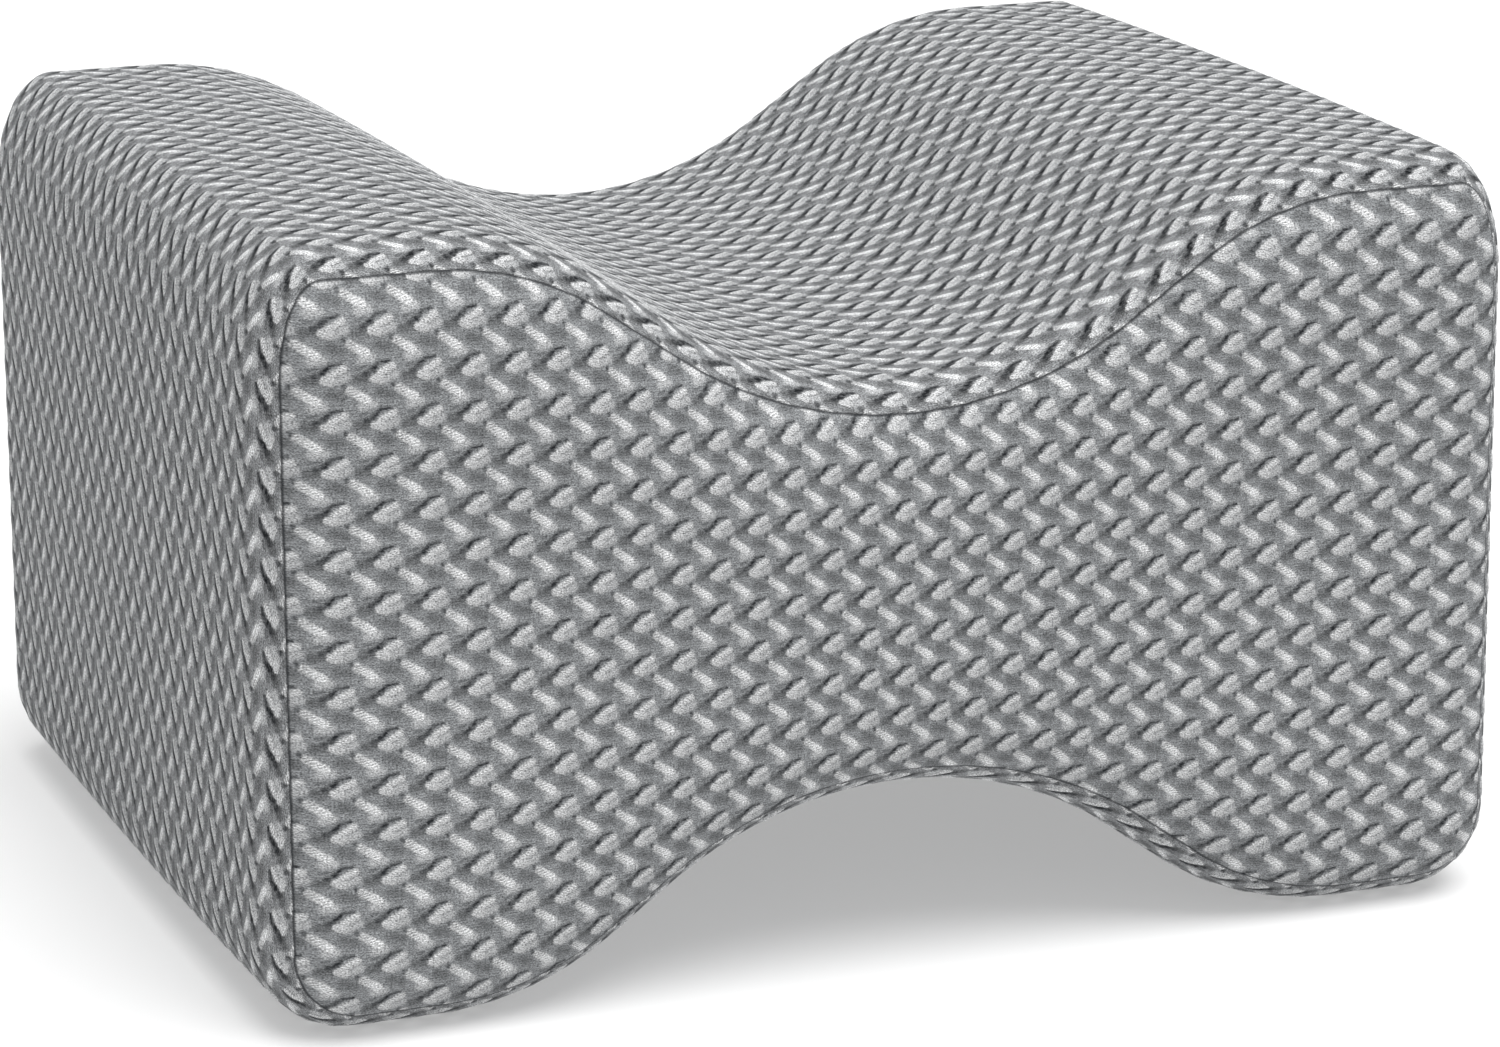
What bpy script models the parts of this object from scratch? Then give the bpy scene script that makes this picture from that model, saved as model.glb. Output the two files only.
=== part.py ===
"""Knee pillow: an hourglass foam cushion in a sewn knit cover.

The cover is cut as two hourglass end panels and one boxing band that runs all
round between them. The band is modelled filled, as the cushion it covers, with
a shallow seat at each end. The end panels lie in those seats, and the narrow
gap round them is the seam line.

Metres, +Z up. X runs along the hourglass outline, Y through the depth, and the
origin is on the floor under the middle of the cushion.
"""

import math

import bmesh
import bpy

MM = 0.001

# Overall outline, measured between the two seams
WIDTH = 255.0 * MM
HEIGHT = 150.0 * MM
DEPTH = 212.0 * MM

# Upper hollow, where the top knee lies, and the humps beside it
VALLEY_DEPTH = 35.0 * MM
VALLEY_RADIUS = 75.0 * MM
HUMP_RADIUS = 63.0 * MM
CREST_X = 93.7 * MM

# Lower arch over the bottom knee, and the feet beside it
ARCH_HEIGHT = 35.0 * MM
ARCH_RADIUS = 79.0 * MM
FOOT_RADIUS = 62.0 * MM
FOOT_X = 94.1 * MM

# Outer corners of the outline: (half-width, half-height) of each rounding
SHOULDER_CORNER = (13.0 * MM, 24.0 * MM)
FOOT_CORNER = (18.0 * MM, 18.0 * MM)
SMALLEST_CORNER = 3.0 * MM

# How the faces swell, and how the ends turn into the band
EDGE_ROUNDING = 17.0 * MM
BAND_CROWN = 0.8 * MM
END_CROWN = 1.0 * MM
PLATEAU_INSET = 28.0 * MM

# The seam lies part of the way round the end rounding, and is drawn in
SEAM_ANGLE = math.radians(45.4)
SEAM_SHOULDER = math.radians(6.0)
SEAM_DRAW_IN = 0.8 * MM
PANEL_THICKNESS = 2.0 * MM
GAP = 0.3 * MM

# Steps along each stretch of the outline
ARC_STEPS = 5
SIDE_STEPS = 4

ROUNDING_START_Y = DEPTH / 2 - EDGE_ROUNDING
SEAM_HALF_GAP = GAP / (2 * EDGE_ROUNDING)

KNIT_GREY = (0.36, 0.365, 0.375, 1.0)
KNIT_ROUGHNESS = 0.9


def clear_scene():
    for scene_object in list(bpy.data.objects):
        bpy.data.objects.remove(scene_object, do_unlink=True)


def slope_angle(radius_sum, run, rise):
    """Slope of the straight line that touches a hollow's arc and a hump's arc."""
    return math.atan2(run, radius_sum - rise) - math.acos(
        radius_sum / math.hypot(run, radius_sum - rise)
    )


def arc(centre, radii, start, end):
    """Points on an elliptical arc, angles counted from +X towards +Z."""
    points = []
    for step in range(ARC_STEPS + 1):
        angle = start + (end - start) * step / ARC_STEPS
        x = centre[0] + radii[0] * math.cos(angle)
        z = centre[1] + radii[1] * math.sin(angle)
        points.append((x, z))
    return points


def outline(inset):
    """The hourglass outline as a ring of (x, z), moved inwards by inset.

    Every arc keeps its centre and only its radius changes, so a ring at any
    inset has the same number of points and stays parallel to the others.
    """
    upper_slope = slope_angle(VALLEY_RADIUS + HUMP_RADIUS, CREST_X, VALLEY_DEPTH)
    lower_slope = slope_angle(ARCH_RADIUS + FOOT_RADIUS, FOOT_X, ARCH_HEIGHT)
    down = -math.pi / 2
    up = math.pi / 2

    valley_centre = (0.0, HEIGHT - VALLEY_DEPTH + VALLEY_RADIUS)
    hump_centre = (CREST_X, HEIGHT - HUMP_RADIUS)
    arch_centre = (0.0, ARCH_HEIGHT - ARCH_RADIUS)
    foot_centre = (FOOT_X, FOOT_RADIUS)

    valley = (VALLEY_RADIUS + inset,) * 2
    hump = (HUMP_RADIUS - inset,) * 2
    arch = (ARCH_RADIUS + inset,) * 2
    foot = (FOOT_RADIUS - inset,) * 2
    shoulder = [max(radius - inset, SMALLEST_CORNER) for radius in SHOULDER_CORNER]
    toe = [max(radius - inset, SMALLEST_CORNER) for radius in FOOT_CORNER]

    side_x = WIDTH / 2 - inset
    shoulder_centre = (side_x - shoulder[0], HEIGHT - inset - shoulder[1])
    toe_centre = (side_x - toe[0], inset + toe[1])

    half = arc(valley_centre, valley, down, down + upper_slope)
    half += arc(hump_centre, hump, up + upper_slope, up)
    half += arc(shoulder_centre, shoulder, up, 0.0)
    for step in range(1, SIDE_STEPS):
        share = step / SIDE_STEPS
        side_z = shoulder_centre[1] + (toe_centre[1] - shoulder_centre[1]) * share
        half.append((side_x, side_z))
    half += arc(toe_centre, toe, 0.0, down)
    half += arc(foot_centre, foot, down, down - lower_slope)
    half += arc(arch_centre, arch, up - lower_slope, up)

    mirrored = [(-x, z) for x, z in reversed(half[1:-1])]
    return half + mirrored


def band_rings():
    """Rings of the band between the two end roundings, with its slight crown."""
    stations = 6
    rings = []
    for step in range(1, stations):
        share = 2 * step / stations - 1
        swell = BAND_CROWN * (1 - share * share)
        rings.append((-swell, share * ROUNDING_START_Y))
    return rings


def rounding_ring(angle, depth_below):
    """Ring on the end rounding, some way below the cover's surface."""
    radius = EDGE_ROUNDING - depth_below
    inset = EDGE_ROUNDING - radius * math.cos(angle)
    return inset, ROUNDING_START_Y + radius * math.sin(angle)


def end_face_ring(inset, depth_below):
    """Ring on the end face, which swells a little towards its plateau."""
    share = (inset - EDGE_ROUNDING) / (PLATEAU_INSET - EDGE_ROUNDING)
    swell = END_CROWN * math.sin(share * math.pi / 2)
    return inset, DEPTH / 2 + swell - depth_below


def end_layer(edge_angle, depth_below):
    """Rings from the seam to the plateau, at one depth below the surface."""
    middle_inset = (EDGE_ROUNDING + PLATEAU_INSET) / 2
    return [
        rounding_ring(edge_angle, depth_below),
        rounding_ring(math.radians(65.0), depth_below),
        rounding_ring(math.radians(90.0), depth_below),
        end_face_ring(middle_inset, depth_below),
        end_face_ring(PLATEAU_INSET, depth_below),
    ]


def loft(name, rings):
    """Closed mesh through rings given as (inset, y), with flat caps."""
    mesh = bpy.data.meshes.new(name)
    build = bmesh.new()
    loops = []
    for inset, y in rings:
        loop = [build.verts.new((x, y, max(z, 0.0))) for x, z in outline(inset)]
        loops.append(loop)
    count = len(loops[0])
    for near, far in zip(loops, loops[1:]):
        for index in range(count):
            following = (index + 1) % count
            build.faces.new((near[index], near[following], far[following], far[index]))
    build.faces.new(loops[0])
    build.faces.new(loops[-1])
    bmesh.ops.recalc_face_normals(build, faces=build.faces)
    build.to_mesh(mesh)
    build.free()
    mesh.shade_smooth()
    mesh.set_sharp_from_angle(angle=math.radians(35.0))
    return mesh


def band_mesh():
    """The filled band: seat, seam edge, rounding, band, and the same mirrored."""
    edge = SEAM_ANGLE - SEAM_HALF_GAP
    end = list(reversed(end_layer(edge, PANEL_THICKNESS + GAP)))
    end.append(rounding_ring(edge, SEAM_DRAW_IN))
    end.append(rounding_ring(SEAM_ANGLE - SEAM_SHOULDER, 0.0))
    end.append(rounding_ring(math.radians(26.0), 0.0))
    end.append(rounding_ring(math.radians(13.0), 0.0))
    end.append(rounding_ring(0.0, 0.0))
    front = [(inset, -y) for inset, y in end]
    return loft("boxing_band", front + band_rings() + list(reversed(end)))


def panel_mesh():
    """One end panel, its edge drawn in where it meets the seam."""
    edge = SEAM_ANGLE + SEAM_HALF_GAP
    outside = [
        rounding_ring(edge, SEAM_DRAW_IN),
        rounding_ring(SEAM_ANGLE + SEAM_SHOULDER, 0.0),
        rounding_ring(math.radians(60.0), 0.0),
        rounding_ring(math.radians(75.0), 0.0),
        rounding_ring(math.radians(90.0), 0.0),
        end_face_ring((EDGE_ROUNDING + PLATEAU_INSET) / 2, 0.0),
        end_face_ring(PLATEAU_INSET, 0.0),
    ]
    inside = end_layer(edge, PANEL_THICKNESS)
    return loft("end_panel", list(reversed(outside)) + inside)


def knit_material(name):
    material = bpy.data.materials.new(name)
    material.use_nodes = True
    shader = material.node_tree.nodes["Principled BSDF"]
    shader.inputs["Base Color"].default_value = KNIT_GREY
    shader.inputs["Roughness"].default_value = KNIT_ROUGHNESS
    shader.inputs["Metallic"].default_value = 0.0
    material.diffuse_color = KNIT_GREY
    return material


def add_piece(name, mesh, parent, turn):
    """Place one piece of the cover; turn is its rotation about the vertical."""
    piece = bpy.data.objects.new(name, mesh)
    bpy.context.scene.collection.objects.link(piece)
    piece.parent = parent
    piece.rotation_euler = (0.0, 0.0, turn)
    if not mesh.materials:
        mesh.materials.append(None)
    piece.material_slots[0].link = "OBJECT"
    piece.material_slots[0].material = knit_material(name + "_knit")
    return piece


def build():
    clear_scene()
    cushion = bpy.data.objects.new("knee_pillow", None)
    bpy.context.scene.collection.objects.link(cushion)
    end_panel = panel_mesh()
    add_piece("boxing_band", band_mesh(), cushion, 0.0)
    add_piece("back_panel", end_panel, cushion, 0.0)
    add_piece("front_panel", end_panel, cushion, math.pi)
    bpy.context.view_layer.update()


build()
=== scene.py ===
"""Knee pillow in a raised grey knit cover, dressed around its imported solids."""
import math

import bpy
import mathutils
import numpy as np
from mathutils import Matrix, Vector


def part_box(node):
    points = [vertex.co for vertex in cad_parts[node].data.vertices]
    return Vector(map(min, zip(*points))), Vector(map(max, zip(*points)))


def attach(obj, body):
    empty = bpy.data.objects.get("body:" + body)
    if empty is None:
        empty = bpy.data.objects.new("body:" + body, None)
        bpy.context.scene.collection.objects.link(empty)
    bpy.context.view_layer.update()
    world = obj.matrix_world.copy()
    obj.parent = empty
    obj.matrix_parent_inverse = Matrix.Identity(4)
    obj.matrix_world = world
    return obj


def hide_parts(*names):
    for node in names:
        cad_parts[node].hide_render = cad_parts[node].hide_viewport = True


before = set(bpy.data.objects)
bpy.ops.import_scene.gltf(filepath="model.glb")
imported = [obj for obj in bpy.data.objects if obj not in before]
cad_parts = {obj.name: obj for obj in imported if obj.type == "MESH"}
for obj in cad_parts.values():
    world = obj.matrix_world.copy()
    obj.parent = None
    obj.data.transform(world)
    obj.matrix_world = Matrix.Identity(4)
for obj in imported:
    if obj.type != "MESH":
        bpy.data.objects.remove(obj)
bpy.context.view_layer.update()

MM = 0.001

# The boxing band is one long strip of knit. It goes round the foam over the humps, the hollow,
# the sides, the feet and the arch, and a plain seam joins it to an end panel along each edge.
# First comes the foam's hourglass outline, which every cut of the cover follows.
BAND_CROWN = 0.8 * MM
END_CROWN = 1.0 * MM
band_low, band_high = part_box("boxing_band")
back_low, back_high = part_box("back_panel")
WIDTH = band_high.x - band_low.x - 2 * BAND_CROWN
HEIGHT = band_high.z - BAND_CROWN
DEPTH = 2 * (back_high.y - END_CROWN)

VALLEY_DEPTH = 35.0 * MM
VALLEY_RADIUS = 75.0 * MM
HUMP_RADIUS = 63.0 * MM
CREST_X = 93.7 * MM
ARCH_HEIGHT = 35.0 * MM
ARCH_RADIUS = 79.0 * MM
FOOT_RADIUS = 62.0 * MM
FOOT_X = 94.1 * MM
SHOULDER_CORNER = (13.0 * MM, 24.0 * MM)
FOOT_CORNER = (18.0 * MM, 18.0 * MM)
SMALLEST_CORNER = 3.0 * MM
EDGE_ROUNDING = 17.0 * MM
PLATEAU_INSET = 28.0 * MM
SEAM_ANGLE = math.radians(45.4)
STRAIGHT_Y = DEPTH / 2 - EDGE_ROUNDING


def slope_angle(radius_sum, run, rise):
    """Slope of the straight line that touches a hollow's arc and a hump's arc."""
    lean = math.atan2(run, radius_sum - rise)
    return lean - math.acos(radius_sum / math.hypot(run, radius_sum - rise))


def outline(inset, fineness=120):
    """The hourglass outline as a closed ring, moved inwards by inset."""
    upper = slope_angle(VALLEY_RADIUS + HUMP_RADIUS, CREST_X, VALLEY_DEPTH)
    lower = slope_angle(ARCH_RADIUS + FOOT_RADIUS, FOOT_X, ARCH_HEIGHT)
    shoulder = [max(radius - inset, SMALLEST_CORNER) for radius in SHOULDER_CORNER]
    toe = [max(radius - inset, SMALLEST_CORNER) for radius in FOOT_CORNER]
    side_x = WIDTH / 2 - inset
    down, up = -math.pi / 2, math.pi / 2
    share = np.arange(fineness) / fineness

    def arc(centre_x, centre_z, radius_x, radius_z, start, end):
        angle = start + (end - start) * share
        return np.column_stack(
            [centre_x + radius_x * np.cos(angle), centre_z + radius_z * np.sin(angle)]
        )

    def line(start, end):
        return np.array(start) + (np.array(end) - np.array(start)) * share[:, None]

    valley = VALLEY_RADIUS + inset
    hump = HUMP_RADIUS - inset
    arch = ARCH_RADIUS + inset
    foot = FOOT_RADIUS - inset
    valley_z = HEIGHT - VALLEY_DEPTH + VALLEY_RADIUS
    arch_z = ARCH_HEIGHT - ARCH_RADIUS
    shoulder_z = HEIGHT - inset - shoulder[1]
    toe_z = inset + toe[1]
    stretches = [arc(0, valley_z, valley, valley, down, down + upper)]
    slope_top = arc(CREST_X, HEIGHT - HUMP_RADIUS, hump, hump, up + upper, up)
    stretches.append(line((valley * math.sin(upper), valley_z - valley * math.cos(upper)), slope_top[0]))
    stretches.append(slope_top)
    stretches.append(line((CREST_X, HEIGHT - inset), (side_x - shoulder[0], HEIGHT - inset)))
    stretches.append(arc(side_x - shoulder[0], shoulder_z, shoulder[0], shoulder[1], up, 0.0))
    stretches.append(line((side_x, shoulder_z), (side_x, toe_z)))
    stretches.append(arc(side_x - toe[0], toe_z, toe[0], toe[1], 0.0, down))
    stretches.append(line((side_x - toe[0], inset), (FOOT_X, inset)))
    stretches.append(arc(FOOT_X, FOOT_RADIUS, foot, foot, down, down - lower))
    arch_arc = arc(0, arch_z, arch, arch, up - lower, up)
    foot_end = (FOOT_X - foot * math.sin(lower), FOOT_RADIUS - foot * math.cos(lower))
    stretches.append(line(foot_end, arch_arc[0]))
    stretches.append(arch_arc)
    half = np.concatenate(stretches + [[(0.0, arch_z + arch)]])
    return np.concatenate([half, (half * (-1, 1))[-2:0:-1]])


# The knit: a raised figured cloth with two kinds of puff in each repeat, a wide one that leans
# right and a narrow ribbed one that leans left, half a repeat apart. Places are in repeats from
# the repeat's lower left corner, with the first number along the cloth and the second up it.
REPEAT = 8.35 * MM
RELIEF = 0.22 * MM
WIDE_PUFF = {"start": (0.35, 0.12), "end": (0.485, 0.085), "radii": (0.105, 0.115)}
WIDE_SHOULDER = {"start": (0.455, 0.215), "end": (0.735, 0.355), "radii": (0.08, 0.095)}
WIDE_SKIRT = {"start": (0.62, 0.11), "end": (0.78, 0.18), "radii": (0.10, 0.10)}
NARROW_PUFF = {"start": (0.855, 0.885), "end": (1.20, 0.655), "radii": (0.11, 0.115)}
PUFF_TAIL = {"start": (1.12, 0.545), "end": (1.33, 0.565), "radii": (0.13, 0.10)}
# Folds sink into the relief beside the wide puffs, and the material also paints them near black as painted shade
# in the creases.
FOLDS = [
    {"start": (0.05, 0.345), "end": (0.18, 0.375), "radii": (0.04, 0.04), "depth": 0.45},
    {"start": (0.16, 0.215), "end": (0.27, 0.255), "radii": (0.07, 0.07), "depth": 0.78},
    {"start": (0.31, 0.29), "end": (0.42, 0.395), "radii": (0.08, 0.055), "depth": 1.0},
    {"start": (0.46, 0.435), "end": (0.68, 0.475), "radii": (0.05, 0.035), "depth": 0.85},
    {"start": (0.735, 0.985), "end": (0.745, 0.95), "radii": (0.055, 0.05), "depth": 0.7},
]
# The hollows are only in the material: painted shade that darkens the ground by each one's depth.
SHADED_HOLLOWS = [
    {"start": (0.00, 0.12), "end": (0.19, 0.14), "radii": (0.13, 0.13), "depth": 0.42},
    {"start": (0.48, 0.83), "end": (0.68, 0.76), "radii": (0.14, 0.13), "depth": 0.34},
]
NARROW_HEIGHT = 0.85
TAIL_HEIGHT = 0.45
FOLD_DEPTH = 0.35


def spine(figure):
    """A figure's middle, its half length and its direction, in repeats."""
    start, end = np.array(figure["start"]), np.array(figure["end"])
    half = np.linalg.norm(end - start) / 2
    return (start + end) / 2, half, (end - start) / (2 * half)


def rim_measure(along, up, figure):
    """0 on a figure's spine and 1 at its rim, at places given in repeats."""
    middle, half, direction = spine(figure)
    du = (along - middle[0] + 0.5) % 1.0 - 0.5
    dv = (up - middle[1] + 0.5) % 1.0 - 0.5
    lengthwise = du * direction[0] + dv * direction[1]
    across = dv * direction[0] - du * direction[1]
    share = np.clip((lengthwise / half + 1) / 2, 0, 1)
    radius = figure["radii"][0] + (figure["radii"][1] - figure["radii"][0]) * share
    past_end = np.maximum(np.abs(lengthwise) - half, 0)
    return np.hypot(past_end, across) / radius


def dome(rim):
    """A soft dome, 1 on the spine and 0 a little past the rim."""
    share = np.clip(1.2 - rim, 0, 1.2) / 1.2
    return share * share * (3 - 2 * share)


def relief(along, up):
    """Height of the knit above its ground, in metres, with folds beside the wide puffs."""
    height = dome(rim_measure(along, up, WIDE_PUFF))
    height = np.maximum(height, dome(rim_measure(along, up, WIDE_SHOULDER)))
    height = np.maximum(height, 0.7 * dome(rim_measure(along, up, WIDE_SKIRT)))
    height = np.maximum(height, NARROW_HEIGHT * dome(rim_measure(along, up, NARROW_PUFF)))
    height = np.maximum(height, TAIL_HEIGHT * dome(rim_measure(along, up, PUFF_TAIL)))
    for shaded_fold in FOLDS:
        height = height - FOLD_DEPTH * shaded_fold["depth"] * dome(rim_measure(along, up, shaded_fold))
    return RELIEF * height


def knit_mesh(name, points, faces, along, up, from_seam):
    """A mesh of cloth that carries its place in the knit, and its distance from the seam."""
    mesh = bpy.data.meshes.new(name)
    mesh.from_pydata(points.tolist(), [], faces)
    carried = mesh.attributes.new("knit", "FLOAT_VECTOR", "POINT")
    values = np.column_stack([along, up, from_seam / MM]).astype(np.float32)
    carried.data.foreach_set("vector", values.ravel())
    mesh.shade_smooth()
    return mesh


def shown(name, mesh, material, slot, *nodes):
    """Put a piece of the cover in the scene, in place of the solids it dresses."""
    piece = bpy.data.objects.new(name, mesh)
    bpy.context.scene.collection.objects.link(piece)
    piece.data.materials.append(material)
    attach(piece, "root")
    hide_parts(*nodes)
    return piece


# The knit's look comes from its place in the repeat: pale puffs on a darker ground, folds painted
# near black as painted shade, ribs over the puffs, and fine stitches all over. Painted shade also
# darkens the ground's hollows and the seam.
PUFF_GREY = (0.545, 0.55, 0.555)
TAIL_GREY = (0.43, 0.435, 0.44)
SKIRT_GREY = (0.355, 0.36, 0.365)
# Near black, for the painted shade in the folds and along the seam.
CREASE_SHADE_GREY = (0.022, 0.024, 0.027)
MEAN_GREY = 0.33
NARROW_RIBS = 15.5
WIDE_RIBS = 15.0
COURSES = 15.0
STITCHES_PER_REPEAT = 30.0


def knit_material(name, contrast, ground_grey, fold_shade_reach, puff_rise):
    """The grey knit, drawn from the place in the repeat that the cloth's mesh carries."""
    material = bpy.data.materials.new(name)
    material.use_nodes = True
    tree = material.node_tree
    shader = tree.nodes["Principled BSDF"]
    shader.inputs["Roughness"].default_value = 0.88
    shader.inputs["Specular IOR Level"].default_value = 0.1
    shader.inputs["Sheen Weight"].default_value = 0.02
    shader.inputs["Sheen Roughness"].default_value = 0.5

    def plug(socket, value):
        if isinstance(value, bpy.types.NodeSocket):
            tree.links.new(value, socket)
        elif socket.type == "RGBA":
            socket.default_value = (*value, 1.0)
        else:
            socket.default_value = value

    def maths(operation, *values):
        node = tree.nodes.new("ShaderNodeMath")
        node.operation = operation
        for socket, value in zip(node.inputs, values):
            plug(socket, value)
        return node.outputs[0]

    def ramp(value, low, high, to_low, to_high, shape="SMOOTHSTEP"):
        node = tree.nodes.new("ShaderNodeMapRange")
        node.interpolation_type = shape
        for socket, setting in zip(node.inputs, (value, low, high, to_low, to_high)):
            plug(socket, setting)
        return node.outputs[0]

    def mixed(share, first, second):
        node = tree.nodes.new("ShaderNodeMix")
        node.data_type = "RGBA"
        plug(node.inputs["Factor"], share)
        plug(node.inputs[6], first)
        plug(node.inputs[7], second)
        return node.outputs[2]

    def toned(colour, tone):
        node = tree.nodes.new("ShaderNodeVectorMath")
        node.operation = "SCALE"
        plug(node.inputs[0], colour)
        plug(node.inputs["Scale"], tone)
        return node.outputs[0]

    def mottle(scale, detail, stretch_along, stretch_up, aside=0.0):
        """Noise over the cloth, about -1 to 1, with its own stretch and place."""
        place = tree.nodes.new("ShaderNodeCombineXYZ")
        plug(place.inputs[0], maths("MULTIPLY", along, stretch_along))
        plug(place.inputs[1], maths("MULTIPLY", up, stretch_up))
        plug(place.inputs[2], aside)
        node = tree.nodes.new("ShaderNodeTexNoise")
        plug(node.inputs["Vector"], place.outputs[0])
        node.inputs["Scale"].default_value = scale
        node.inputs["Detail"].default_value = detail
        return maths("MULTIPLY_ADD", node.outputs["Fac"], 4.0, -2.0)

    carried = tree.nodes.new("ShaderNodeAttribute")
    carried.attribute_name = "knit"
    parts = tree.nodes.new("ShaderNodeSeparateXYZ")
    tree.links.new(carried.outputs["Vector"], parts.inputs[0])
    along, up, from_seam = parts.outputs

    # Each puff is a little out of true, and its edge is broken by the stitches, as loops are
    sway = mottle(2.4, 2.0, 1.0, 1.0)
    lumps = mottle(7.5, 2.0, 1.0, 1.0, 7.0)
    fuzz = mottle(20.0, 1.0, 0.8, 1.2, 3.0)
    bent_along = maths("MULTIPLY_ADD", fuzz, 0.010, maths("MULTIPLY_ADD", lumps, 0.010, along))
    bent_along = maths("MULTIPLY_ADD", sway, 0.014, bent_along)
    bent_up = maths("MULTIPLY_ADD", fuzz, -0.008, maths("MULTIPLY_ADD", lumps, 0.008, up))
    bent_up = maths("MULTIPLY_ADD", sway, -0.012, bent_up)

    def rim_of(figure):
        """The same measure as rim_measure() gives, worked out in the material."""
        middle, half, direction = spine(figure)
        near_along = maths("WRAP", bent_along, middle[0] + 0.5, middle[0] - 0.5)
        near_up = maths("WRAP", bent_up, middle[1] + 0.5, middle[1] - 0.5)
        from_middle = maths("MULTIPLY_ADD", near_along, direction[0], -float(middle @ direction))
        lengthwise = maths("MULTIPLY_ADD", near_up, direction[1], from_middle)
        sideways = float(middle[0] * direction[1] - middle[1] * direction[0])
        from_spine = maths("MULTIPLY_ADD", near_along, -direction[1], sideways)
        across = maths("MULTIPLY_ADD", near_up, direction[0], from_spine)
        radius = figure["radii"][0]
        if figure["radii"][1] != radius:
            radius = ramp(lengthwise, -half, half, *figure["radii"], "LINEAR")
        past_end = maths("MAXIMUM", maths("SUBTRACT", maths("ABSOLUTE", lengthwise), half), 0.0)
        squares = maths("MULTIPLY_ADD", across, across, maths("MULTIPLY", past_end, past_end))
        return maths("DIVIDE", maths("SQRT", squares), radius), lengthwise, across

    def ribs(figure, lengthwise, across, slope, per_repeat):
        """Ribs over a puff, -1 to 1, that rise by slope along the cloth."""
        direction = spine(figure)[2]
        by_length = direction[1] - slope * direction[0]
        by_width = direction[0] + slope * direction[1]
        level = maths("MULTIPLY_ADD", across, by_width, maths("MULTIPLY", lengthwise, by_length))
        return maths("SINE", maths("MULTIPLY", level, 2 * math.pi * per_repeat))

    wide_rim = rim_of(WIDE_PUFF)[0]
    shoulder_rim, wide_length, wide_across = rim_of(WIDE_SHOULDER)
    narrow_rim, narrow_length, narrow_across = rim_of(NARROW_PUFF)
    flat_rib = ribs(NARROW_PUFF, narrow_length, narrow_across, 0.20, NARROW_RIBS)
    slant_rib = ribs(WIDE_SHOULDER, wide_length, wide_across, -0.45, WIDE_RIBS)
    course = maths("SINE", maths("MULTIPLY", bent_up, 2 * math.pi * COURSES))
    stitches = mottle(STITCHES_PER_REPEAT, 1.0, 0.8, 1.2, 11.0)
    patches = mottle(9.0, 3.0, 0.75, 1.5, 5.0)

    body = ramp(maths("MULTIPLY_ADD", slant_rib, 0.08, wide_rim), 0.6, 1.25, 1.0, 0.0)
    shoulder = ramp(maths("MULTIPLY_ADD", slant_rib, 0.20, shoulder_rim), 0.6, 1.25, 1.0, 0.0)
    wide = maths("MAXIMUM", body, shoulder)
    skirt = ramp(rim_of(WIDE_SKIRT)[0], 0.3, 1.6, 1.0, 0.0)
    narrow = ramp(maths("MULTIPLY_ADD", flat_rib, 0.16, narrow_rim), 0.6, 1.2, 1.0, 0.0)
    tail = ramp(rim_of(PUFF_TAIL)[0], 0.2, 1.45, 0.8, 0.0)
    # Painted shade: the hollows darken the ground.
    hollow = 0.0
    for figure in SHADED_HOLLOWS:
        hollow = maths("MAXIMUM", hollow, ramp(rim_of(figure)[0], 0.2, 1.4, figure["depth"], 0.0))
    # Painted shade: the folds darken towards near black, more or less with the patches.
    shaded_fold = 0.0
    for figure in FOLDS:
        shaded_fold = maths("MAXIMUM", shaded_fold, ramp(rim_of(figure)[0], fold_shade_reach - 1.5, fold_shade_reach, figure["depth"], 0.0))
    shaded_fold = maths("MULTIPLY", shaded_fold, ramp(patches, -0.9, 0.7, 0.4, 1.15))

    ground_tone = maths("MULTIPLY_ADD", course, 0.10, 1.0)
    ground_tone = maths("MULTIPLY_ADD", patches, 0.24, ground_tone)
    ground_tone = maths("MULTIPLY", ground_tone, maths("SUBTRACT", 1.0, hollow))
    wide_tone = maths("MULTIPLY_ADD", wide_across, 0.5, 0.84)
    wide_tone = maths("MULTIPLY_ADD", slant_rib, ramp(wide_across, -0.08, 0.05, 0.03, 0.20), wide_tone)
    narrow_tone = maths("MULTIPLY_ADD", flat_rib, 0.22, ramp(narrow_length, -0.2, 0.1, 0.76, 1.02))

    colour = toned(ground_grey, ground_tone)
    colour = mixed(tail, colour, TAIL_GREY)
    colour = mixed(skirt, colour, SKIRT_GREY)
    colour = mixed(wide, colour, toned(PUFF_GREY, wide_tone))
    colour = mixed(narrow, colour, toned(PUFF_GREY, narrow_tone))
    colour = mixed(shaded_fold, colour, CREASE_SHADE_GREY)
    colour = toned(colour, maths("MULTIPLY_ADD", stitches, 0.62, 1.0))
    deepened = tree.nodes.new("ShaderNodeGamma")
    plug(deepened.inputs["Color"], colour)
    deepened.inputs["Gamma"].default_value = contrast
    colour = toned(deepened.outputs[0], MEAN_GREY ** (1.0 - contrast))
    # Painted shade along the seam groove, near black right at the seam.
    colour = mixed(ramp(from_seam, 0.08, 0.45, 0.85, 0.0), colour, CREASE_SHADE_GREY)
    tree.links.new(colour, shader.inputs["Base Color"])

    height = maths("MULTIPLY", maths("MULTIPLY", flat_rib, narrow), 0.045)
    height = maths("MULTIPLY_ADD", maths("MULTIPLY", slant_rib, wide), 0.025, height)
    height = maths("MULTIPLY_ADD", maths("MAXIMUM", wide, narrow), puff_rise, height)
    height = maths("MULTIPLY_ADD", shaded_fold, -0.12, height)
    height = maths("MULTIPLY_ADD", course, 0.010, height)
    height = maths("MULTIPLY_ADD", stitches, 0.04, height)
    bump = tree.nodes.new("ShaderNodeBump")
    bump.inputs["Strength"].default_value = 1.0
    bump.inputs["Distance"].default_value = MM
    tree.links.new(height, bump.inputs["Height"])
    tree.links.new(bump.outputs["Normal"], shader.inputs["Normal"])
    return material


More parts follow.
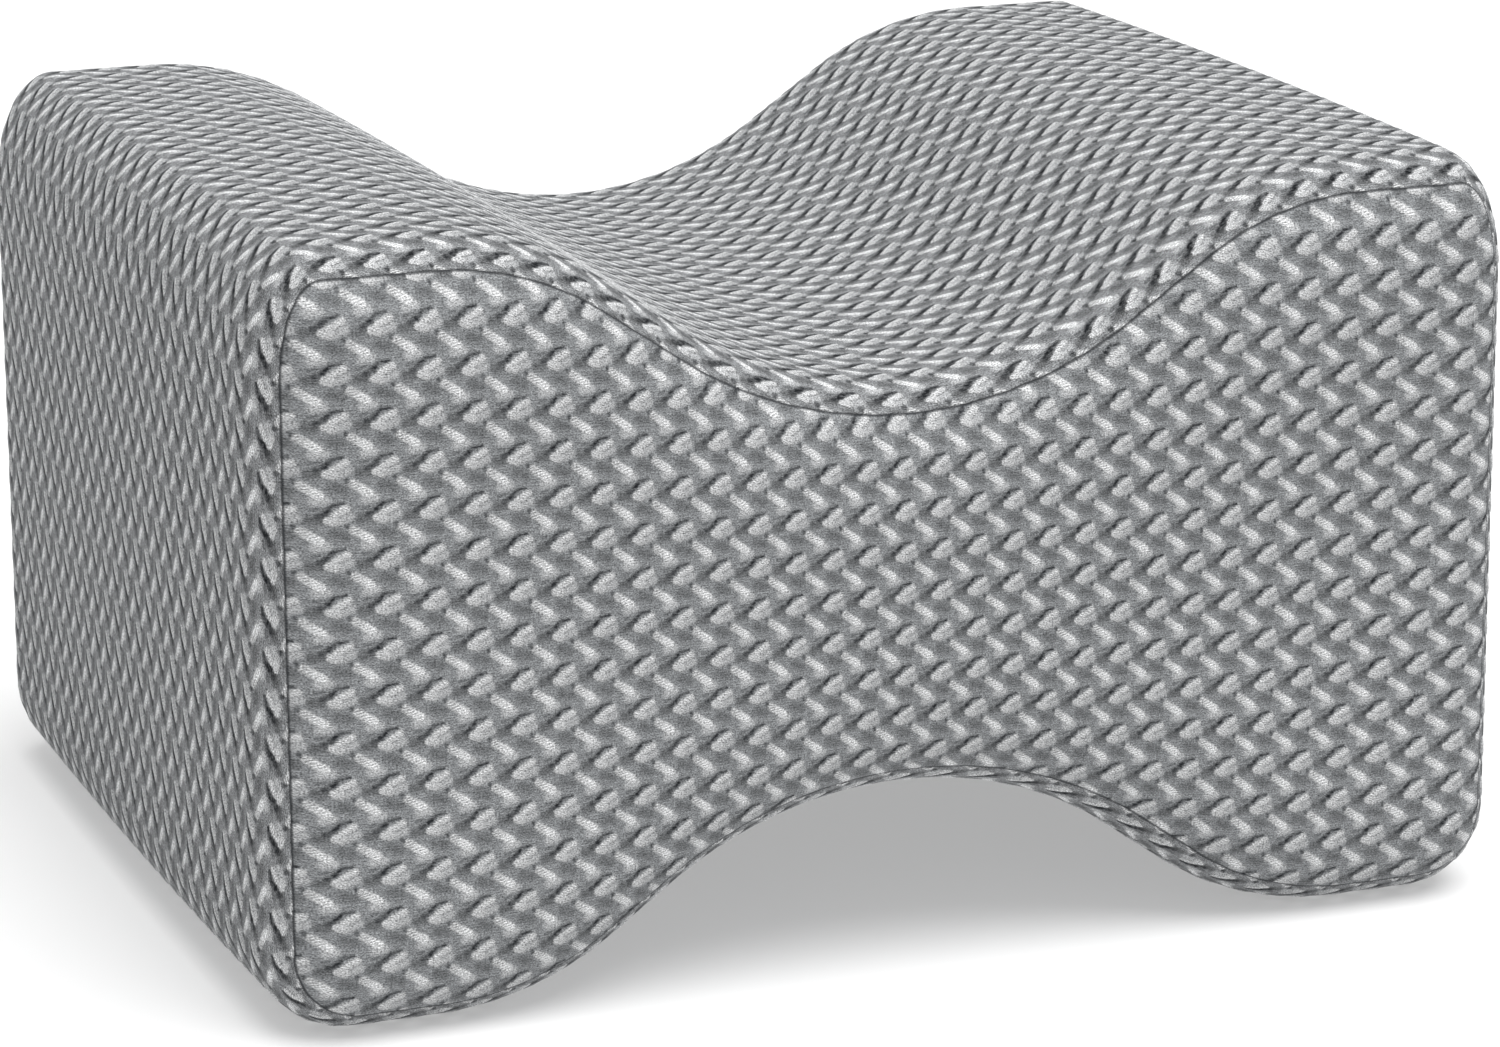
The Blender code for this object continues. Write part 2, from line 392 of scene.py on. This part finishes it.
# The band's strip, woven round the outline. Its mesh is cut into four lengths that share their
# end points, at the crests and under the feet, so that none grows too heavy.
COLUMNS_PER_REPEAT = 12
ROWS = 262
BAND_REPEATS = 97
BAND_PITCH_ACROSS = 8.2 * MM
STRIP_START = (0.85, 0.30)
EDGE_ROWS = (0.0, 0.18 * MM, 0.42 * MM, 0.75 * MM)
EDGE_ROLL = 0.50 * MM
ROLL_REACH = 0.24 * MM
RELIEF_FADE = 0.6 * MM
EDGE_TURN_IN = (1.0 * MM, 1.9 * MM)
PUFF_TOP = 0.10 * MM
SEAM_HALF_GAP = 0.07 * MM
ridge = outline(0.0)
steps = np.linalg.norm(np.roll(ridge, -1, 0) - ridge, axis=1)
travelled = np.concatenate([[0.0], np.cumsum(steps)])
girth = travelled[-1]
columns = BAND_REPEATS * COLUMNS_PER_REPEAT
column_places = np.interp(np.arange(columns) * girth / columns, travelled, np.arange(len(travelled)))


def ring_at(inset):
    """The outline at an inset, read at the band's columns."""
    ring = outline(inset)
    ring = np.concatenate([ring, ring[:1]])
    places = np.arange(len(ring))
    return np.column_stack([np.interp(column_places, places, ring[:, axis]) for axis in (0, 1)])


def band_station(across):
    """How far in and how far along the depth the cloth lies, at a place across the strip."""
    if abs(across) <= STRAIGHT_Y:
        share = across / STRAIGHT_Y
        return -BAND_CROWN * (1 - share * share), across
    angle = (abs(across) - STRAIGHT_Y) / EDGE_ROUNDING
    inset = EDGE_ROUNDING * (1 - math.cos(angle))
    return inset, math.copysign(STRAIGHT_Y + EDGE_ROUNDING * math.sin(angle), across)


half_strip = STRAIGHT_Y + EDGE_ROUNDING * SEAM_ANGLE - SEAM_HALF_GAP
inner_half = half_strip - 1.2 * MM
edge_rows = half_strip - np.array(EDGE_ROWS)
inner_rows = np.linspace(-inner_half, inner_half, ROWS + 1)
strip = np.concatenate([-edge_rows, inner_rows, edge_rows[::-1]])
surface = []
for across in strip:
    inset, y = band_station(across)
    ring = ring_at(inset)
    surface.append(np.column_stack([ring[:, 0], np.full(columns, y), ring[:, 1]]))
surface = np.array(surface)
round_way = np.roll(surface, -1, 1) - np.roll(surface, 1, 1)
depth_way = np.gradient(surface, axis=0)
normals = np.cross(depth_way, round_way)
normals /= np.linalg.norm(normals, axis=2, keepdims=True)
if (normals[len(strip) // 2, 0] @ (0, 0, 1)) < 0:
    normals = -normals

along_cloth, up_cloth = np.meshgrid(
    np.arange(columns) / COLUMNS_PER_REPEAT, strip / BAND_PITCH_ACROSS + STRIP_START[1], indexing="xy"
)
along_cloth += STRIP_START[0]
from_edge = np.repeat((half_strip - np.abs(strip))[:, None], columns, 1)
raised = relief(along_cloth, up_cloth) - RELIEF + PUFF_TOP
raised = raised * np.clip(from_edge / RELIEF_FADE, 0.0, 1.0)
rolled = -EDGE_ROLL * np.exp(-from_edge / ROLL_REACH)
placed = surface + normals * (raised + rolled)[:, :, None]
for turn_in in EDGE_TURN_IN:
    first = surface[:1] - normals[:1] * turn_in
    last = surface[-1:] - normals[-1:] * turn_in
    placed = np.concatenate([first, placed, last])
    along_cloth = np.concatenate([along_cloth[:1], along_cloth, along_cloth[-1:]])
    up_cloth = np.concatenate([up_cloth[:1], up_cloth, up_cloth[-1:]])
    from_edge = np.concatenate([from_edge[:1] * 0, from_edge, from_edge[-1:] * 0])
placed[:, :, 2] = np.maximum(placed[:, :, 2], 0.0)
facing = np.cross(np.gradient(placed, axis=0), np.roll(placed, -1, 1) - np.roll(placed, 1, 1))
facing /= np.maximum(np.linalg.norm(facing, axis=2, keepdims=True), 1e-12)
if (facing[len(placed) // 2, 0] @ (0, 0, 1)) < 0:
    facing = -facing

BAND_GROUND = (0.234, 0.239, 0.244)
band_knit = knit_material("band_raised_knit", 1.3, BAND_GROUND, 1.95, 0.30)
CREST_SPLIT = 13.2
FOOT_SPLIT = 34.9
splits = [CREST_SPLIT, FOOT_SPLIT, BAND_REPEATS - FOOT_SPLIT, BAND_REPEATS - CREST_SPLIT]
split_columns = [round(place * COLUMNS_PER_REPEAT) for place in splits]
lengths = {
    "band_right_side": (split_columns[0], split_columns[1]),
    "band_underside": (split_columns[1], split_columns[2]),
    "band_left_side": (split_columns[2] - columns, split_columns[3] - columns),
    "band_over_the_top": (split_columns[3] - columns, split_columns[0]),
}
for name, (first, last) in lengths.items():
    picked = np.arange(first, last + 1) % columns
    points = placed[:, picked].reshape(-1, 3)
    rows, wide = placed.shape[0], len(picked)
    corner = np.arange(rows * wide).reshape(rows, wide)
    faces = np.stack(
        [corner[:-1, :-1], corner[:-1, 1:], corner[1:, 1:], corner[1:, :-1]], -1
    ).reshape(-1, 4)
    along = np.arange(first, last + 1) / COLUMNS_PER_REPEAT + STRIP_START[0]
    mesh = knit_mesh(
        name,
        points,
        faces.tolist(),
        np.tile(along, rows),
        up_cloth[:, picked].ravel(),
        from_edge[:, picked].ravel(),
    )
    mesh.normals_split_custom_set_from_vertices(facing[:, picked].reshape(-1, 3).tolist())
    piece = shown(name, mesh, band_knit, "band_knit", "boxing_band")


# The end panels are hourglass cuts of the same knit, laid over the foam's ends and sewn to the
# band along their whole rim. The knit is drawn closer together at the narrow waist.
PANEL_STEPS_PER_REPEAT = 14
WAIST_PITCH_ALONG = 7.32 * MM
SPREAD_REACH = 100.0 * MM
SPREAD_EARLY = 0.168
SPREAD_LATE = 0.014
WAIST_PITCH_UP = 8.02 * MM
SIDE_PITCH_UP = 8.60 * MM
PANEL_MIDDLE_Z = 74.85 * MM
PANEL_START_ALONG = 0.015
SEAM_INSET = EDGE_ROUNDING * (1 - math.cos(SEAM_ANGLE))
RIM_ROWS = EDGE_ROWS + (1.2 * MM,)
line_x = np.linspace(-WIDTH / 2, WIDTH / 2, 2001)
reach = line_x / SPREAD_REACH
pitch_along = WAIST_PITCH_ALONG / (1 - SPREAD_EARLY * reach**2 + SPREAD_LATE * reach**4)
repeats_along = np.concatenate([[0.0], np.cumsum(np.diff(line_x) / pitch_along[:-1])])
repeats_along -= np.interp(0.0, line_x, repeats_along)


def panel_pitch_up(x):
    share = 0.5 - 0.5 * np.cos(np.pi * np.clip(np.abs(x) / SPREAD_REACH, 0, 1))
    return WAIST_PITCH_UP + (SIDE_PITCH_UP - WAIST_PITCH_UP) * share


def panel_swell(inset):
    """Depth of the panel's surface at an inset from the outline."""
    angle = np.arccos(np.clip(1 - inset / EDGE_ROUNDING, 0, 1))
    turned = STRAIGHT_Y + EDGE_ROUNDING * np.sin(angle)
    share = np.clip((inset - EDGE_ROUNDING) / (PLATEAU_INSET - EDGE_ROUNDING), 0, 1)
    return turned + END_CROWN * np.sin(share * np.pi / 2)


def rim_loop(inset, spacing):
    """The panel's outline at an inset, with evenly spaced points."""
    ring = outline(inset)
    ring = np.concatenate([ring, ring[:1]])
    way = np.concatenate([[0.0], np.cumsum(np.linalg.norm(np.diff(ring, axis=0), axis=1))])
    count = int(way[-1] / spacing)
    even = np.arange(count) * way[-1] / count
    return np.column_stack([np.interp(even, way, ring[:, axis]) for axis in (0, 1)])


def seam_distance(points, ring):
    """Distance of each (x, z) point from a closed ring of points."""
    tree = mathutils.kdtree.KDTree(len(ring))
    for index, (x, z) in enumerate(ring):
        tree.insert((x, z, 0.0), index)
    tree.balance()
    return np.array([tree.find((x, z, 0.0))[2] for x, z in points])


def is_inside(points, ring):
    """Whether each (x, z) point lies inside a closed ring."""
    inside = np.zeros(len(points), bool)
    for (x0, z0), (x1, z1) in zip(ring, np.roll(ring, -1, 0)):
        if z0 == z1:
            continue
        crosses = (points[:, 1] < z0) != (points[:, 1] < z1)
        meet = x0 + (points[:, 1] - z0) * (x1 - x0) / (z1 - z0)
        inside ^= crosses & (points[:, 0] < meet)
    return inside


def panel_places():
    """Points and faces of a panel's cut in (x, z), rows along the rim first."""
    spacing = REPEAT / PANEL_STEPS_PER_REPEAT
    rim = rim_loop(SEAM_INSET, spacing)
    count = len(rim)
    following = np.roll(rim, -1, 0) - np.roll(rim, 1, 0)
    inward = np.column_stack([-following[:, 1], following[:, 0]])
    inward /= np.linalg.norm(inward, axis=1, keepdims=True)
    if is_inside(rim[:1] + inward[:1] * MM, rim)[0] == 0:
        inward = -inward
    points = [rim + inward * row for row in RIM_ROWS]
    faces = []
    for row in range(len(RIM_ROWS) - 1):
        near = row * count + np.arange(count)
        far = near + count
        faces += np.column_stack([far, np.roll(far, -1), np.roll(near, -1), near]).tolist()
    inner = points[-1]
    steps_along = np.arange(-16 * PANEL_STEPS_PER_REPEAT, 16 * PANEL_STEPS_PER_REPEAT + 1)
    steps_up = np.arange(-9 * PANEL_STEPS_PER_REPEAT, 9 * PANEL_STEPS_PER_REPEAT + 1)
    x = np.interp(steps_along / PANEL_STEPS_PER_REPEAT, repeats_along, line_x)
    grid_x, grid_up = np.meshgrid(x, steps_up / PANEL_STEPS_PER_REPEAT, indexing="ij")
    grid_z = PANEL_MIDDLE_Z + grid_up * panel_pitch_up(grid_x)
    grid = np.column_stack([grid_x.ravel(), grid_z.ravel()])
    kept = is_inside(grid, inner)
    kept[kept] = seam_distance(grid[kept], inner) > 0.55 * spacing
    kept = kept.reshape(grid_x.shape)
    whole = kept[:-1, :-1] & kept[1:, :-1] & kept[1:, 1:] & kept[:-1, 1:]
    used = np.zeros(kept.shape, bool)
    used[:-1, :-1] |= whole
    used[1:, :-1] |= whole
    used[1:, 1:] |= whole
    used[:-1, 1:] |= whole
    number = np.full(kept.shape, -1)
    number[used] = len(RIM_ROWS) * count + np.arange(used.sum())
    quads = np.stack([number[:-1, :-1], number[1:, :-1], number[1:, 1:], number[:-1, 1:]], -1)
    quads = quads[whole]
    faces += quads.tolist()
    points.append(grid.reshape(grid_x.shape + (2,))[used])
    points = np.concatenate(points)

    sides = np.concatenate([quads[:, [0, 1]], quads[:, [1, 2]], quads[:, [2, 3]], quads[:, [3, 0]]])
    ordered = np.sort(sides, axis=1)
    _, index, times = np.unique(ordered, axis=0, return_index=True, return_counts=True)
    border = sides[index[times == 1]]
    ring_numbers = (len(RIM_ROWS) - 1) * count + np.arange(count)
    ring_edges = np.column_stack([ring_numbers, np.roll(ring_numbers, -1)])
    numbers = np.unique(np.concatenate([border.ravel(), ring_numbers]))
    local = {int(number): place for place, number in enumerate(numbers)}
    edges = [(local[int(a)], local[int(b)]) for a, b in np.concatenate([border, ring_edges])]
    flat = [mathutils.Vector(points[number] / MM) for number in numbers]
    _, _, triangles, origins, _, _ = mathutils.geometry.delaunay_2d_cdt(flat, edges, [], 1, 1e-6)
    for triangle in triangles:
        real = [int(numbers[origins[corner][0]]) for corner in triangle]
        centre = points[real].mean(0)
        column = int(np.floor(np.interp(centre[0], line_x, repeats_along) * PANEL_STEPS_PER_REPEAT))
        lift = (centre[1] - PANEL_MIDDLE_Z) / panel_pitch_up(centre[0])
        row = int(np.floor(lift * PANEL_STEPS_PER_REPEAT))
        i, j = column - steps_along[0], row - steps_up[0]
        if 0 <= i < whole.shape[0] and 0 <= j < whole.shape[1] and whole[i, j]:
            continue
        faces.append(real)
    return points, faces


cut, cut_faces = panel_places()
rim_ring = rim_loop(SEAM_INSET, 0.2 * MM)
from_rim = seam_distance(cut, rim_ring)
cut_along = np.interp(cut[:, 0], line_x, repeats_along) + PANEL_START_ALONG
cut_up = (cut[:, 1] - PANEL_MIDDLE_Z) / panel_pitch_up(cut[:, 0])


def panel_points(end):
    """The panel's cloth at the front (end -1) or the back (end 1) of the foam."""
    inset = SEAM_INSET + from_rim
    depth = panel_swell(inset)
    slope = np.clip(1 - inset / EDGE_ROUNDING, 0, 1)
    raised = relief(cut_along * -end, cut_up) - RELIEF + PUFF_TOP
    raised = raised * np.clip(from_rim / RELIEF_FADE, 0.0, 1.0)
    rolled = -EDGE_ROLL * np.exp(-from_rim / ROLL_REACH)
    lift = raised + rolled
    return np.column_stack([cut[:, 0], end * (depth + lift * np.sqrt(1 - slope**2)), cut[:, 1]])


PANEL_GROUND = (0.215, 0.222, 0.228)
panel_knit = knit_material("panel_raised_knit", 1.08, PANEL_GROUND, 1.55, 0.20)
for name, end, node in (("front_end_panel", -1, "front_panel"), ("back_end_panel", 1, "back_panel")):
    points = panel_points(end)
    outward_faces = cut_faces if end < 0 else [face[::-1] for face in cut_faces]
    mesh = knit_mesh(name, points, outward_faces, cut_along * -end, cut_up, from_rim)
    piece = shown(name, mesh, panel_knit, "panel_knit", node)

# Plain pale floor, soft studio light, and the camera at the photograph's angle
PHOTO_WIDTH = 1500
PHOTO_HEIGHT = 1047
FOCAL_PIXELS = 5561.3
SENSOR_WIDTH = 36.0
VIEW_TURN = math.radians(20.966)
VIEW_DOWN = math.radians(15.140)
VIEW_ROLL = math.radians(0.226)
AIM_POINT = mathutils.Vector((0.0, 0.0, 0.075))
AIM_PIXEL = (721.35, 467.8)
AIM_DISTANCE = 1.1411

floor_mesh = bpy.data.meshes.new("floor")
floor_mesh.from_pydata([(-4, -4, 0), (4, -4, 0), (4, 4, 0), (-4, 4, 0)], [], [(0, 1, 2, 3)])
floor = bpy.data.objects.new("floor", floor_mesh)
bpy.context.scene.collection.objects.link(floor)
floor.location.z = -0.0002
floor_paint = bpy.data.materials.new("pale_floor")
floor_paint.use_nodes = True
floor_shader = floor_paint.node_tree.nodes["Principled BSDF"]
floor_shader.inputs["Base Color"].default_value = (0.58, 0.58, 0.58, 1.0)
floor_shader.inputs["Roughness"].default_value = 0.9
floor_shader.inputs["Specular IOR Level"].default_value = 0.0
floor_shader.inputs["Emission Color"].default_value = (1.0, 1.0, 1.0, 1.0)
floor_shader.inputs["Emission Strength"].default_value = 0.35
floor_mesh.materials.append(floor_paint)

world = bpy.data.worlds.new("studio")
bpy.context.scene.world = world
world.use_nodes = True
sky = world.node_tree.nodes["Background"]
sky.inputs["Color"].default_value = (1.0, 1.0, 1.0, 1.0)
sky.inputs["Strength"].default_value = 0.52

key = bpy.data.lights.new("key", "SUN")
key.energy = 3.4
key.angle = math.radians(50)
key_lamp = bpy.data.objects.new("key", key)
bpy.context.scene.collection.objects.link(key_lamp)
key_from = mathutils.Vector((0.10, -0.30, 0.93))
key_lamp.rotation_euler = key_from.to_track_quat("Z", "Y").to_euler()

camera_data = bpy.data.cameras.new("camera")
camera_data.sensor_fit = "HORIZONTAL"
camera_data.sensor_width = SENSOR_WIDTH
camera_data.lens = FOCAL_PIXELS * SENSOR_WIDTH / PHOTO_WIDTH
camera = bpy.data.objects.new("camera", camera_data)
bpy.context.scene.collection.objects.link(camera)
turned = mathutils.Matrix.Rotation(-VIEW_TURN, 3, "Z")
tilted = mathutils.Matrix.Rotation(math.pi / 2 - VIEW_DOWN, 3, "X")
rolled_view = mathutils.Matrix.Rotation(-VIEW_ROLL, 3, "Z")
axes = turned @ tilted @ rolled_view
right_way, up_way, back_way = axes.col
aside = (AIM_PIXEL[0] - PHOTO_WIDTH / 2) / FOCAL_PIXELS * AIM_DISTANCE
below = (AIM_PIXEL[1] - PHOTO_HEIGHT / 2) / FOCAL_PIXELS * AIM_DISTANCE
camera.location = AIM_POINT - aside * right_way + below * up_way + AIM_DISTANCE * back_way
camera.rotation_euler = axes.to_euler()
bpy.context.scene.camera = camera
bpy.context.scene.view_settings.view_transform = "Standard"
